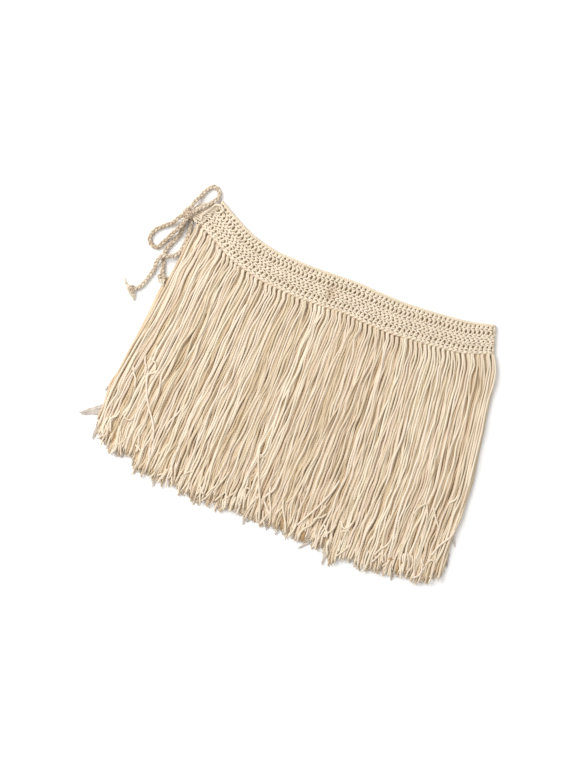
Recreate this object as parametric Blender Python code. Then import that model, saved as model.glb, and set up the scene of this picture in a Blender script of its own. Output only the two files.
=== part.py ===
"""A fringed wrap skirt of cotton yarn, laid flat.

A crocheted waistband lies folded in two, with its fold at +X and its two ends tied in a bow at -X.
Each half of the band carries a fringe, which hangs towards -Y. The skirt lies on z = 0.
The tables are in millimetres, in the garment's own layout: X along the waist, Y towards the band.
"""
import math
import random

import bmesh
import bpy
from mathutils import Vector

MM = 0.001

# Cloth of the waistband
WALL = 3.0
PLAIN_WALL = 2.5
LAYER_GAP = 0.6
BAND_WIDTH = 41.0
STITCHES_ACROSS_FRONT = 69
FOLD_STEPS = 8
BACK_STATIONS = 24

# Centreline of the front half of the band, from the tied end to the fold: X, Y
BAND_CENTRELINE = [
    (-176.0, 161.5),
    (-153.0, 150.0),
    (-131.0, 139.0),
    (-108.0, 130.6),
    (-86.0, 125.5),
    (-58.0, 123.3),
    (-30.0, 123.3),
    (0.0, 124.3),
    (27.0, 124.4),
    (52.0, 123.2),
    (84.0, 123.0),
    (116.0, 125.3),
    (148.0, 129.0),
    (172.0, 134.4),
    (193.0, 141.0),
]

# Crochet relief: place up from the lower edge, rise over the plain wall, dip between stitches
BAND_RELIEF = [
    (0.0, -1.0, 0.0),
    (2.5, 0.4, 0.2),
    (8.5, -0.2, 0.9),
    (13.5, 0.5, 0.1),
    (17.5, -0.1, 0.6),
    (24.5, 0.4, 0.3),
    (29.0, -0.2, 0.9),
    (33.0, 0.5, 0.2),
    (36.5, 0.0, 0.5),
    (41.0, -0.9, 0.2),
]
INNER_EDGE = 0.6

# Fringe: narrow strip under the band's lower edge, and its locks of three sides
SEAM_GAP = 0.3
STRIP_WIDTH = 2.5
STRIP_HEIGHT = 2.6
LOCK_FILL = 0.8
LOCK_HEIGHT = 2.3
LOCK_TIP = 0.6
LOCK_WAVE = 1.9
LOCK_SLOW_WAVE = 0.37
ROOT_INSET = 0.15

# Each fringe: its locks, the lowest they lie, how far some lie above that, and its strip's floor
FRONT_FRINGE = {
    "locks": 120,
    "floor": 3.05,
    "lift": 0.7,
    "strip_floor": WALL + LAYER_GAP,
    "levels": (0.0, 0.05, 0.13, 0.28, 0.6, 1.0),
    "ragged": 4.0,
    "longer": 0.0,
    "strays": [],
}
# The outermost locks at the back have slid out at the lower left: sideways, shorter by
BACK_FRINGE = {
    "locks": 110,
    "floor": 0.3,
    "lift": 0.2,
    "strip_floor": 0.0,
    "levels": (0.0, 0.13, 0.28, 0.6, 0.88, 1.0),
    "ragged": 6.0,
    "longer": 1.0,
    "strays": [(-22.0, 26.0), (-12.0, 18.0), (-5.0, 9.0)],
}

# Sideways spread of the fringe: share of the fall, shift at the left edge, shift at the right edge
FRINGE_SPREAD = [
    (0.00, 0.0, 0.0),
    (0.05, 0.5, 8.0),
    (0.13, 0.5, 13.0),
    (0.28, -9.0, 18.5),
    (0.60, -20.0, 31.0),
    (0.75, -25.0, 33.5),
    (1.00, -25.0, 37.0),
]
SPREAD_POWER = 2.0
STRAY_FROM = 0.88

# Hem of the fringe: share across from the left edge, Y of the lock ends
FRINGE_HEM = [
    (0.00, -146.0),
    (0.03, -147.0),
    (0.08, -153.0),
    (0.14, -163.0),
    (0.20, -168.0),
    (0.25, -165.0),
    (0.32, -172.0),
    (0.40, -168.0),
    (0.58, -167.0),
    (0.65, -174.0),
    (0.69, -180.0),
    (0.74, -173.0),
    (0.80, -174.0),
    (0.91, -165.0),
    (0.955, -162.0),
    (1.00, -152.0),
]

# Ties: braided cord. Routes are X, Y, height of the centre above the surface
CORD_DIAMETER = 6.4
CORD_STEP = 6.5
BOW_KNOT_CENTRE = (-200.0, 149.5, 7.4)
BOW_KNOT_RADII = (7.5, 7.5, 7.0)
END_KNOT_RADII = (5.0, 5.0, 4.6)
END_KNOT_HEIGHT = 4.8
TAIL_LEFT_KNOT = (-232.6, 40.9)
TAIL_RIGHT_KNOT = (-203.2, 67.0)

CORD_ROUTES = {
    "tie_front": [
        (-181.9, 151.5, 4.9),
        (-185.2, 152.8, 4.9),
        (-188.6, 151.8, 4.8),
        (-191.7, 150.7, 4.7),
    ],
    "tie_back": [
        (-174.6, 165.8, 3.4),
        (-179.4, 167.9, 3.4),
        (-185.6, 166.0, 3.4),
        (-190.9, 161.9, 3.4),
        (-195.3, 156.5, 3.4),
    ],
    "loop_upper": [
        (-200.0, 157.9, 10.2),
        (-198.6, 163.5, 8.9),
        (-196.4, 169.5, 6.0),
        (-193.8, 175.6, 3.9),
        (-191.2, 181.6, 3.4),
        (-187.6, 187.4, 3.4),
        (-182.4, 190.7, 3.4),
        (-177.0, 189.0, 3.4),
        (-174.0, 184.2, 3.6),
        (-174.4, 178.4, 5.0),
        (-177.0, 173.6, 8.2),
        (-180.9, 169.0, 10.4),
        (-185.6, 163.9, 10.5),
        (-189.8, 159.6, 10.3),
        (-193.8, 155.1, 10.2),
    ],
    "loop_lower": [
        (-206.5, 144.1, 10.2),
        (-209.7, 139.0, 9.2),
        (-213.2, 134.0, 6.2),
        (-218.0, 129.2, 4.0),
        (-223.6, 124.6, 3.4),
        (-229.0, 119.2, 3.4),
        (-232.6, 112.6, 3.4),
        (-233.4, 105.8, 3.4),
        (-230.2, 100.3, 3.4),
        (-224.6, 97.8, 3.4),
        (-219.8, 99.8, 3.4),
        (-217.2, 105.0, 3.4),
        (-214.3, 111.0, 3.8),
        (-211.0, 117.0, 6.2),
        (-207.8, 123.2, 9.3),
        (-204.4, 129.5, 10.3),
        (-201.8, 135.5, 10.3),
        (-200.3, 141.1, 10.2),
    ],
    "tail_left": [
        (-194.8, 142.9, 3.4),
        (-192.7, 136.0, 3.4),
        (-191.8, 128.0, 3.4),
        (-191.6, 119.0, 3.4),
        (-192.3, 110.0, 3.4),
        (-194.3, 102.5, 3.6),
        (-198.2, 96.6, 5.0),
        (-203.6, 93.3, 8.2),
        (-209.5, 91.9, 10.3),
        (-213.6, 87.6, 9.4),
        (-215.1, 81.2, 6.0),
        (-215.4, 74.5, 3.8),
        (-216.4, 67.0, 3.4),
        (-218.6, 59.5, 3.4),
        (-220.9, 52.2, 3.4),
        (-223.8, 46.6, 3.5),
        (-227.8, 43.2, 4.0),
    ],
    "tail_right": [
        (-201.4, 141.1, 3.4),
        (-201.0, 135.0, 3.4),
        (-200.9, 128.0, 3.4),
        (-201.9, 120.5, 3.4),
        (-204.8, 113.0, 3.4),
        (-208.2, 105.6, 3.4),
        (-210.3, 98.4, 3.4),
        (-210.0, 91.6, 3.4),
        (-207.9, 85.4, 3.4),
        (-206.3, 79.0, 3.5),
        (-204.4, 72.5, 4.0),
    ],
}

# Finish: colour in linear light, roughness
YARN_COLOUR = (0.70, 0.58, 0.43)
BAND_COLOUR = (0.71, 0.59, 0.45)
CORD_COLOUR = (0.68, 0.57, 0.45)
YARN_ROUGHNESS = 0.9


def clear_scene():
    """Remove whatever the new file holds."""
    for item in list(bpy.data.objects):
        bpy.data.objects.remove(item)


def yarn_material(name, colour):
    """Plain matt cotton."""
    material = bpy.data.materials.new(name)
    material.use_nodes = True
    shader = material.node_tree.nodes["Principled BSDF"]
    shader.inputs["Base Color"].default_value = (*colour, 1.0)
    shader.inputs["Roughness"].default_value = YARN_ROUGHNESS
    shader.inputs["Metallic"].default_value = 0.0
    return material


def catmull(before, start, end, after, share):
    """Point at a share of the way from start to end on a smooth curve through four points."""
    squared = share * share
    cubed = squared * share
    return (
        start * 2.0
        + (end - before) * share
        + (before * 2.0 - start * 5.0 + end * 4.0 - after) * squared
        + (start * 3.0 - before - end * 3.0 + after) * cubed
    ) * 0.5


class SmoothCurve:
    """A smooth curve through points, read by the distance along it."""

    FINE_STEPS = 24

    def __init__(self, points):
        places = [Vector(point) for point in points]
        places.insert(0, places[0] * 2.0 - places[1])
        places.append(places[-1] * 2.0 - places[-2])
        self.fine = [places[1]]
        for index in range(1, len(places) - 2):
            for step in range(1, self.FINE_STEPS + 1):
                share = step / self.FINE_STEPS
                self.fine.append(catmull(*places[index - 1:index + 3], share))
        self.reach = [0.0]
        for one, two in zip(self.fine, self.fine[1:]):
            self.reach.append(self.reach[-1] + (two - one).length)
        self.length = self.reach[-1]

    def at(self, distance):
        """Point and direction at a distance, running on straight past either end."""
        inside = min(max(distance, 0.0), self.length)
        index = 1
        while index < len(self.reach) - 1 and self.reach[index] < inside:
            index += 1
        one = self.fine[index - 1]
        two = self.fine[index]
        span = self.reach[index] - self.reach[index - 1]
        share = (inside - self.reach[index - 1]) / span
        direction = (two - one).normalized()
        return one.lerp(two, share) + direction * (distance - inside), direction


def read_table(rows, place, column):
    """Value of a column at a place along the table's first column, between its rows."""
    for low, high in zip(rows, rows[1:]):
        if place <= high[0]:
            share = max(0.0, (place - low[0]) / (high[0] - low[0]))
            return low[column] + (high[column] - low[column]) * share
    return rows[-1][column]


def finish_mesh(name, mesh_data, material, root):
    """Turn built faces outwards and make the object."""
    bmesh.ops.recalc_face_normals(mesh_data, faces=mesh_data.faces[:])
    mesh = bpy.data.meshes.new(name)
    mesh_data.to_mesh(mesh)
    mesh_data.free()
    mesh.materials.append(material)
    item = bpy.data.objects.new(name, mesh)
    item.parent = root
    bpy.context.collection.objects.link(item)
    return item


CENTRELINE = SmoothCurve([(x, y, 0.0) for x, y in BAND_CENTRELINE])


def band_place(distance, up):
    """Point of the laid band: distance along it, up from its lower edge. Also its direction."""
    centre, direction = CENTRELINE.at(distance)
    across = Vector((-direction.y, direction.x, 0.0))
    return centre + across * (up - BAND_WIDTH / 2.0), direction


def relief_heights(between_stitches):
    """Wall thickness at each row of the relief table."""
    heights = []
    for place, rise, dip in BAND_RELIEF:
        heights.append(PLAIN_WALL + rise - (dip if between_stitches else 0.0))
    return heights


def band_ring(distance, turn, heights):
    """Section of the band's wall, turned about the fold: 0 is the front half, pi the back half."""
    fold_height = WALL + LAYER_GAP / 2.0
    ups = [INNER_EDGE] + [row[0] for row in BAND_RELIEF] + [BAND_WIDTH - INNER_EDGE]
    depths = [0.0] + heights + [0.0]
    ring = []
    for up, depth in zip(ups, depths):
        place, direction = band_place(distance, up)
        radius = LAYER_GAP / 2.0 + depth
        place = place + direction * (radius * math.sin(turn))
        place.z = fold_height + radius * math.cos(turn)
        ring.append(place * MM)
    return ring


def build_waistband(material, root):
    """One crocheted strip: front half, soft fold, back half that rests flat."""
    stitch_half = CENTRELINE.length / (2 * STITCHES_ACROSS_FRONT)
    rings = []
    for index in range(2 * STITCHES_ACROSS_FRONT + 1):
        rings.append(band_ring(index * stitch_half, 0.0, relief_heights(index % 2 == 1)))
    crest = relief_heights(False)
    flat = [WALL] * len(BAND_RELIEF)
    for step in range(1, FOLD_STEPS):
        share = step / FOLD_STEPS
        heights = [one + (two - one) * share for one, two in zip(crest, flat)]
        rings.append(band_ring(CENTRELINE.length, math.pi * share, heights))
    for index in range(BACK_STATIONS + 1):
        distance = CENTRELINE.length * (1.0 - index / BACK_STATIONS)
        rings.append(band_ring(distance, math.pi, flat))
    mesh_data = bmesh.new()
    loops = [[mesh_data.verts.new(place) for place in ring] for ring in rings]
    for one, two in zip(loops, loops[1:]):
        for index in range(len(one)):
            after = (index + 1) % len(one)
            mesh_data.faces.new((one[index], one[after], two[after], two[index]))
    mesh_data.faces.new(loops[0])
    mesh_data.faces.new(loops[-1])
    return finish_mesh("waistband", mesh_data, material, root)


def strip_place(share, up):
    """Point under the band's lower edge, from the tied end round to the outside of the fold."""
    reach = CENTRELINE.length + LAYER_GAP / 2.0 + WALL
    return band_place(share * reach, up)


def fringe_place(share, fall, stray_side=0.0, shorter=0.0):
    """Point in plan at a share across the fringe and a share of its fall."""
    root, _ = strip_place(share, -SEAM_GAP - STRIP_WIDTH)
    left = read_table(FRINGE_SPREAD, fall, 1) * (1.0 - share) ** SPREAD_POWER
    right = read_table(FRINGE_SPREAD, fall, 2) * share ** SPREAD_POWER
    hem = read_table(FRINGE_HEM, share, 1) + shorter
    stray = stray_side * max(0.0, (fall - STRAY_FROM) / (1.0 - STRAY_FROM))
    x = root.x + left + right + stray
    y = root.y + (hem - root.y) * fall
    return Vector((x, y, 0.0))


def lock_rings(index, fringe, stray, shorter):
    """Sections of one lock of yarn: two corners below, one on top, at each level of the fall."""
    share = (index + 0.5) / fringe["locks"]
    beside = (index + 1.5) / fringe["locks"]
    levels = fringe["levels"]
    wave = math.sin(index * LOCK_WAVE) * math.cos(index * LOCK_SLOW_WAVE)
    lift = fringe["lift"] * (1.0 + wave) / 2.0
    rings = []
    for number, fall in enumerate(levels):
        place = fringe_place(share, fall, stray, shorter)
        if number == 0:
            _, across = strip_place(share, 0.0)
            low = fringe["strip_floor"] + ROOT_INSET
        else:
            before = fringe_place(share, levels[number - 1], stray, shorter)
            down = (place - before).normalized()
            across = Vector((-down.y, down.x, 0.0))
            low = fringe["floor"] + lift
        step = fringe_place(beside, fall, stray, shorter) - place
        taper = LOCK_TIP if number == len(levels) - 1 else 1.0
        half = abs(step.dot(across)) * LOCK_FILL / 2.0 * taper
        high = low + LOCK_HEIGHT * taper
        left = place - across * half
        right = place + across * half
        rings.append([
            Vector((left.x, left.y, low)) * MM,
            Vector((right.x, right.y, low)) * MM,
            Vector((place.x, place.y, high)) * MM,
        ])
    return rings


def build_fringe(name, fringe, material, root):
    """Locks of yarn whose roots are fused into a narrow strip under the band's edge."""
    rng = random.Random(name)
    count = fringe["locks"]
    strays = fringe["strays"]
    mesh_data = bmesh.new()
    sections = []
    for index in range(count + 1):
        near, _ = strip_place(index / count, -SEAM_GAP)
        far, _ = strip_place(index / count, -SEAM_GAP - STRIP_WIDTH)
        corners = []
        for place, height in ((far, 0.0), (far, STRIP_HEIGHT), (near, STRIP_HEIGHT), (near, 0.0)):
            corners.append(Vector((place.x, place.y, fringe["strip_floor"] + height)) * MM)
        sections.append([mesh_data.verts.new(corner) for corner in corners])
    for one, two in zip(sections, sections[1:]):
        for low in (1, 2, 3):
            high = (low + 1) % 4
            mesh_data.faces.new((one[low], one[high], two[high], two[low]))
    mesh_data.faces.new(sections[0])
    mesh_data.faces.new(sections[-1])
    for index in range(count):
        side, shorter = strays[index] if index < len(strays) else (0.0, 0.0)
        uneven = rng.uniform(-fringe["ragged"], fringe["ragged"]) - fringe["longer"]
        rings = lock_rings(index, fringe, side, shorter + uneven)
        loops = [[mesh_data.verts.new(place) for place in ring] for ring in rings]
        left_low, left_high = sections[index][0], sections[index][1]
        right_low, right_high = sections[index + 1][0], sections[index + 1][1]
        left, right, top = loops[0]
        for corners in (
            (left_low, right_low, right),
            (left_low, right, left),
            (right_low, right_high, right),
            (right_high, top, right),
            (right_high, left_high, top),
            (left_high, left, top),
            (left_high, left_low, left),
        ):
            mesh_data.faces.new(corners)
        for one, two in zip(loops, loops[1:]):
            for corner in range(3):
                after = (corner + 1) % 3
                mesh_data.faces.new((one[corner], one[after], two[after], two[corner]))
        mesh_data.faces.new(loops[-1])
    return finish_mesh(name, mesh_data, material, root)


def build_cord(name, material, root):
    """A stretch of braided tie: a round tube along its route."""
    path = SmoothCurve(CORD_ROUTES[name])
    steps = max(2, round(path.length / CORD_STEP))
    curve = bpy.data.curves.new(name, "CURVE")
    curve.dimensions = "3D"
    curve.bevel_depth = CORD_DIAMETER / 2.0 * MM
    curve.bevel_resolution = 2
    curve.use_fill_caps = True
    spline = curve.splines.new("POLY")
    spline.points.add(steps)
    for index, point in enumerate(spline.points):
        place, _ = path.at(path.length * index / steps)
        point.co = (*(place * MM), 1.0)
    curve.materials.append(material)
    item = bpy.data.objects.new(name, curve)
    item.parent = root
    bpy.context.collection.objects.link(item)
    return item


def build_knot(name, centre, radii, subdivisions, material, root):
    """A pulled knot in a tie: a rounded lump."""
    mesh_data = bmesh.new()
    bmesh.ops.create_icosphere(mesh_data, subdivisions=subdivisions, radius=1.0)
    for vert in mesh_data.verts:
        stretched = [value * radius for value, radius in zip(vert.co, radii)]
        vert.co = (Vector(stretched) + Vector(centre)) * MM
    item = finish_mesh(name, mesh_data, material, root)
    item.data.shade_smooth()
    return item


def centre_in_plan(items, root):
    """Move the whole skirt so that the band and fringe are centred on the origin in plan."""
    places = [vert.co for item in items for vert in item.data.vertices]
    x_middle = (min(place.x for place in places) + max(place.x for place in places)) / 2.0
    y_middle = (min(place.y for place in places) + max(place.y for place in places)) / 2.0
    root.location = (-x_middle, -y_middle, 0.0)


def main():
    clear_scene()
    band_yarn = yarn_material("band_yarn", BAND_COLOUR)
    fringe_yarn = yarn_material("fringe_yarn", YARN_COLOUR)
    tie_cord = yarn_material("tie_cord", CORD_COLOUR)
    root = bpy.data.objects.new("skirt", None)
    bpy.context.collection.objects.link(root)

    band = build_waistband(band_yarn, root)
    front = build_fringe("fringe_front", FRONT_FRINGE, fringe_yarn, root)
    back = build_fringe("fringe_back", BACK_FRINGE, fringe_yarn, root)
    for name in CORD_ROUTES:
        build_cord(name, tie_cord, root)
    build_knot("bow_knot", BOW_KNOT_CENTRE, BOW_KNOT_RADII, 3, tie_cord, root)
    for name, place in (("tail_left_knot", TAIL_LEFT_KNOT), ("tail_right_knot", TAIL_RIGHT_KNOT)):
        build_knot(name, (*place, END_KNOT_HEIGHT), END_KNOT_RADII, 2, tie_cord, root)
    centre_in_plan([band, front, back], root)


main()
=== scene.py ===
"""Looks of the fringed wrap skirt, built round its packed construction solids.

Every yarn is modelled. Tables are in millimetres, in the layout of the part's source: X along
the waist, Y towards the band, Z up from the surface that the skirt lies on.
"""

import math

import bpy
import numpy as np
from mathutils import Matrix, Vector


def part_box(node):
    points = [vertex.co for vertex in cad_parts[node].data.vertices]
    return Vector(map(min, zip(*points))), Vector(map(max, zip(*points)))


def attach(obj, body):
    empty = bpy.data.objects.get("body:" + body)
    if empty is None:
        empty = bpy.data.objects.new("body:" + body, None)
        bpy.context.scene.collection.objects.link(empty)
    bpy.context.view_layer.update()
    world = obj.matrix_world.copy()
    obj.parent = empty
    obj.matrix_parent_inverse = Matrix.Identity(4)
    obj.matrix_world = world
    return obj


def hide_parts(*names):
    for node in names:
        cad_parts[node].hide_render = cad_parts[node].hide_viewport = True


MM = 0.001
TURN = 2.0 * math.pi
UP = np.array([0.0, 0.0, 1.0])

# Camera: straight above, turned so that the waist runs down to the right as in the photograph
CAMERA_TURN = math.radians(21.0)
CAMERA_HEIGHT = 2.176
CAMERA_LENS = 85.0
CAMERA_AIM = (-16.0, 1.6)
CAMERA_SENSOR = 36.0

# Stage: half the floor's side, its paper, the light from all round, and lamps with place and power
FLOOR_HALF = 12.0
FLOOR_SURFACE = {"Base Color": (0.97, 0.97, 0.97), "Roughness": 0.9}
WORLD_LIGHT = {"Color": (1.0, 0.987, 0.968), "Strength": 0.44}
LIGHT_SIZE = 2.0
LIGHTS = [
    ("key_light", (-1.9, 0.57, 1.96), 88.5),
    ("fill_light", (1.2, -0.4, 2.2), 12.0),
]

# Yarn finishes: pale and deep colour, length of a turn of the plies, plies, depth of grooves
YARN_FINISHES = {
    "band_yarn": ((0.90, 0.80, 0.66), (0.64, 0.515, 0.385), 5.0, 3, 0.8),
    "fringe_yarn": ((0.885, 0.79, 0.67), (0.60, 0.46, 0.31), 12.0, 4, 0.4),
    # The back fringe's yarn is painted darker than the front's: painted shade of the layer below
    "back_fringe": ((0.85, 0.74, 0.59), (0.60, 0.45, 0.30), 12.0, 4, 0.28),
    "frayed_yarn": ((0.87, 0.82, 0.77), (0.64, 0.56, 0.50), 6.0, 3, 0.3),
    # Brown yarn: painted shade of the inner layers seen between the front strands
    "painted_shade_end": ((0.70, 0.50, 0.29), (0.48, 0.31, 0.16), 6.0, 3, 0.3),
    "loose_yarn": ((0.95, 0.88, 0.77), (0.78, 0.68, 0.56), 6.0, 3, 0.3),
    "tie_cord": ((0.85, 0.76, 0.64), (0.49, 0.375, 0.275), 6.0, 3, 0.8),
}
YARN_SURFACE = {
    "Roughness": 0.88,
    "Sheen Weight": 0.05,
    "Sheen Roughness": 0.45,
    "Sheen Tint": (1.0, 0.86, 0.68),
    "Specular IOR Level": 0.25,
}
# Yarn in detail: how round its plies are, fibres and patches (scale, detail of the noise), how
# much each shades it, two casts of colour, and the relief (strength, depth in metres)
PLY_ROUNDING = 0.55
FIBRE_NOISE = (1400.0, 3.0)
PATCH_NOISE = (45.0, 2.0)
TONE_SHADE = 0.9
PATCH_SHADE = 0.38
# How dark the grooves between the plies are painted: painted shade
GROOVE_PAINTED_SHADE = 0.55
FIBRE_SHADE = 0.2
FIBRE_RELIEF = 0.3
CAST_SCATTER = 13.7
YARN_CASTS = ((1.0, 0.98, 0.985), (0.98, 1.0, 0.945))
YARN_BUMP = (0.75, 0.0004)

# Painted shade in the depth of the crochet: its dark colour, how much darker its patches are, noise
# and relief
DEPTH_PAINTED_SHADE = (0.27, 0.19, 0.11)
DEPTH_DARKER = 0.7
DEPTH_NOISE = (500.0, 3.0)
DEPTH_BUMP = (0.6, 0.0005)

# Layout of the band, as in the part's source
WALL = 3.0
LAYER_GAP = 0.6
BAND_WIDTH = 41.0
STITCHES = 69  # across the front
SEAM_GAP = 0.3
STRIP_WIDTH = 2.5
BAND_CENTRELINE = [
    (-176, 161.5), (-153, 150), (-131, 139), (-108, 130.6), (-86, 125.5), (-58, 123.3),
    (-30, 123.3), (0, 124.3), (27, 124.4), (52, 123.2), (84, 123), (116, 125.3), (148, 129),
    (172, 134.4), (193, 141),
]

# How much narrower the band is drawn in towards its ends: share of its length, narrower by
BAND_NARROWER = [
    (0, 1), (0.06, 2.6), (0.12, 2.3), (0.22, 0.5), (0.3, -0.4), (0.55, -0.4), (0.68, 0),
    (0.86, 1), (0.95, 3), (1, 4.5),
]

# Sideways spread of the fringe: share of the fall, shift at the left edge, shift at the right edge
FRONT_SPREAD = [
    (0, 0, 0), (0.05, -1, 7), (0.1, -2.7, 9.8), (0.14, -4, 12), (0.18, -5.2, 13.3),
    (0.22, -6.2, 14.8), (0.28, -7.5, 17), (0.32, -8.5, 18.8), (0.385, -10.4, 21.6),
    (0.49, -14.6, 26), (0.56, -17.6, 28.6), (0.62, -20.4, 30), (0.7, -23, 30.1),
    (0.8, -25.2, 30.5), (0.88, -26.8, 31.5), (1, -26.5, 35),
]
BACK_SPREAD = [
    (0, 0, 0), (0.05, 0.3, 7), (0.13, 0, 11.5), (0.2, -3.5, 14), (0.25, -6, 16),
    (0.28, -10.2, 17), (0.32, -13.2, 18.8), (0.385, -15.2, 21.6), (0.49, -17.4, 26),
    (0.56, -19, 28.6), (0.62, -20.6, 30), *FRONT_SPREAD[-4:],
]
SPREAD_POWER = 2.0

# Hem of the fringe: share across from the left edge, Y of the strand ends
FRINGE_HEM = [
    (0, -133), (0.015, -141), (0.03, -143.5), (0.08, -150.5), (0.14, -155.5), (0.18, -161.5),
    (0.25, -165), (0.32, -170), (0.4, -166.5), (0.43, -162.5), (0.46, -166), (0.58, -166.5),
    (0.65, -169.5), (0.69, -170), (0.72, -177), (0.75, -171.5), (0.8, -172.5), (0.91, -165),
    (0.955, -162), (1, -152),
]

# Front and back fringe: the strands at one stitch (place across it, layer: 0 lies below, 1 on
# top), heights of the two layers, tops of the strands up to the yarn they are looped over (up
# from the band's edge, height, how far apart they still are), how much shorter than the hem's
# outline they are cut on average, how lively their course is, and the seed
FRONT_FRINGE = {
    "strands": [(-0.25, 1), (0.25, 1), (-0.46, 0), (0.00, 0), (0.46, 0)],
    "heights": (4.15, 5.65),
    "tops": [(0.7, 1.9, 0.50), (-0.5, 3.8, 0.66), (-1.6, 5.7, 0.86)],
    "spread": FRONT_SPREAD,
    "shorter": 5.5,
    "lively": 1.0,
    "seed": 21,
}
BACK_FRINGE = {
    "strands": [(-0.38, 0), (-0.14, 1), (0.12, 0), (0.38, 1)],
    "heights": (1.2, 2.3),
    "tops": [(0.7, 2.4, 1.0), (-0.5, 2.3, 1.0), (-1.6, 2.3, 1.0)],
    "spread": BACK_SPREAD,
    "shorter": 4.0,
    "lively": 0.0,
    "seed": 22,
}

# Sizes and shades of the strands: those of the lower layer drop at top and root, and get painted
# shade, a deeper tone
STRAND_RADIUS = 1.36
STRAND_POINTS = 54
STRAND_SIDES = 6
TOP_DROP = 1.7
ROOT_DROP = 2.6
DROP_FALL = 0.10
RISE_FALL = 0.05
TONE_SPREAD = (1.3, 2.6)
LOWER_PAINTED_SHADE = 0.45

# The strands of one stitch make a lock. How much locks and strands scatter across (in stitches)
# and in their cut, how close a lock is at its root and opened out, where it has opened, and the
# share of the fall by which strands hang free
LOOSE_FALL = 0.07
LOCK_SLIP = 0.55
LOCK_AIM = 0.14
AIM_FALL = 0.18
LOCK_CUT = 3.2
LOCK_TIGHT = (0.34, 0.56)
LOCK_OPEN = 1.04
LOCK_OPENS = (0.034, 0.17)
STRAND_JITTER = 0.06
JITTER_FALL = 0.3
STRAND_CUT = 2.2

# Waves that neighbouring strands share: sizes, how many cross the fringe and how many its fall,
# and how far they act at the root and further down
FRINGE_WAVES = [
    (((0.75, 0.5, 0.35, 0.3), (3, 12), (0.3, 1.6)), (0.35, 0.8)),
    (((0.55, 0.45, 0.35), (14, 40), (1.5, 5)), (0.3, 0.7)),
]
# Waves of a strand's own, sideways and up and down, and kinks near its end
STRAND_TURNS = (5.0, 11.0)
SWELL = 0.52
SWELL_TURNS = ((0.8, 2.5), (2.5, 6.0))
KINK_AT = (0.80, 1.0)
KINK_FALL = 0.04

# Places where the strands part and show what lies below: X, Y, half width, half height
PARTINGS = [
    (-16, -80, 2.4, 10), (-16, -116, 2.6, 14), (-119, -38, 1.5, 9), (-163, 72, 2, 22),
    (-38, -149, 1.8, 8), (36, -154, 3, 8), (65, -156, 3.4, 8), (92.5, -154, 2.6, 6),
    (107, -133, 2, 6), (142, -129, 1.5, 5), (172.5, -85, 1.8, 16), (185.5, -156, 2.4, 8),
    (195, -72, 1.5, 10), (-205, -82, 1.8, 6), (-176, -39, 1.6, 6),
]

# Strands that lie across the others on top: X and Y of one point after another
STRAYS = [
    [-178, -44, -174, -59, -168, -73, -160, -86, -152, -97, -146, -108, -143, -120],
    [-179, -26, -177, -31, -173.5, -31, -171, -36, -171, -44],
    [-178, -52, -176, -47, -173, -45, -170, -43, -168, -39],
    [-197, -44, -193, -52, -188, -59, -186, -68],
    [-188, -26, -185, -35, -181, -41, -180, -50],
    [-186, -102, -183.5, -106, -179, -107, -175.5, -105, -174, -101],
    [-199, -128, -200, -117, -197.5, -111, -194, -108, -192, -100],
    [-200, -112, -197, -119, -194, -128],
    [-134, -104, -132.5, -94, -131, -88, -127, -80, -124, -70],
    [-186, -141, -180, -138.5, -176, -134, -173, -126],
    [-20, -93, -17.5, -90, -13.5, -89.5, -11, -92],
    [-20, -82, -17, -94, -12, -107, -6, -122, 1, -137, 6, -151, 10, -163],
    [-21, -136, -18, -132.5, -14, -132, -11.5, -135],
    [55, -152, 62, -138, 69, -125, 75, -111, 80, -98, 83, -84],
    [60, -163, 64, -153, 70, -146, 74, -134, 79, -118],
    [70, -140, 74, -135.5, 79, -132.5, 83, -127],
    [103, -129, 105.5, -134, 109.5, -135.5, 113, -132, 114, -127],
    [106, -142, 109, -139, 114, -136.5, 118, -139],
    [88, -152, 92, -148, 96, -142, 98, -134],
    [180, -90, 183, -81, 187, -75.5, 190, -73, 193, -78, 196, -86, 198, -96],
    [199, -72, 203, -80, 208, -87, 214, -94],
    [214, -64, 217, -60, 220, -57, 222, -50],
    [218, -128, 221, -117, 226, -108, 231, -100, 233, -90],
    [217, -137, 220, -133, 224, -135, 226, -141],
    [154, -152, 158, -143, 163, -137, 166, -128],
    [-53, -152, -50, -141, -47, -133, -44, -122],
    [-60, -158, -57, -150, -53, -143, -52, -134],
    [28, -128, 31, -138, 36, -147, 41, -156, 45, -166],
    [8, -120, 12, -133, 18, -145, 22, -158],
]
STRAY_HEIGHT = 7.3

# Short loose ends that lie over the hem: how many, length, how far above the hem they begin
LOOSE_ENDS = 80
LOOSE_LENGTH = (8.0, 24.0)
LOOSE_ABOVE = (8.0, 34.0)

# Frayed ends of strands from below that reach past the hem: X, Y of root and tip, width there
HEM_TUFTS = [
    (-209, -104, -237, -120, 10), (-209, -98, -226, -111, 5), (-211, -110, -230, -118, 5),
    (-212, -122, -210.5, -144, 3), (-206, -122, -203, -140, 2), (-197, -130, -195.5, -146, 2.5),
    (-178, -138, -176, -154, 3.5), (-171, -136, -171, -153, 4), (-157, -146, -156, -157, 3.5),
    (-147, -149, -151, -165, 1.6), (-124, -153, -124, -172, 3), (-106, -154, -106, -165, 3),
    (-91, -152, -90, -171, 4), (-66, -156, -65, -173, 6), (-40, -158, -40, -169, 3),
    (-8, -154, -7, -175, 3), (-1, -156, -3, -171, 2.5), (21, -158, 22, -172, 2),
    (34, -160, 35, -173, 1.6), (42, -158, 42, -170, 2.6), (55, -158, 55, -170, 3),
    (76, -166, 66, -178, 2), (97, -160, 100, -187, 7), (111, -160, 112, -179, 4),
    (128, -156, 129, -172, 6), (138, -156, 138, -172, 4), (147, -155, 150, -175, 2),
    (172, -156, 173, -171, 2.5), (182, -158, 184, -175, 1.8), (185, -152, 189, -168, 2),
    (201, -152, 202, -163, 6), (214, -150, 215, -160, 7), (227, -143, 229, -154, 7),
    (234, -98, 241, -109, 2), (237, -120, 240, -136, 2), (-213, -66, -218, -84, 1.6),
]
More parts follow.
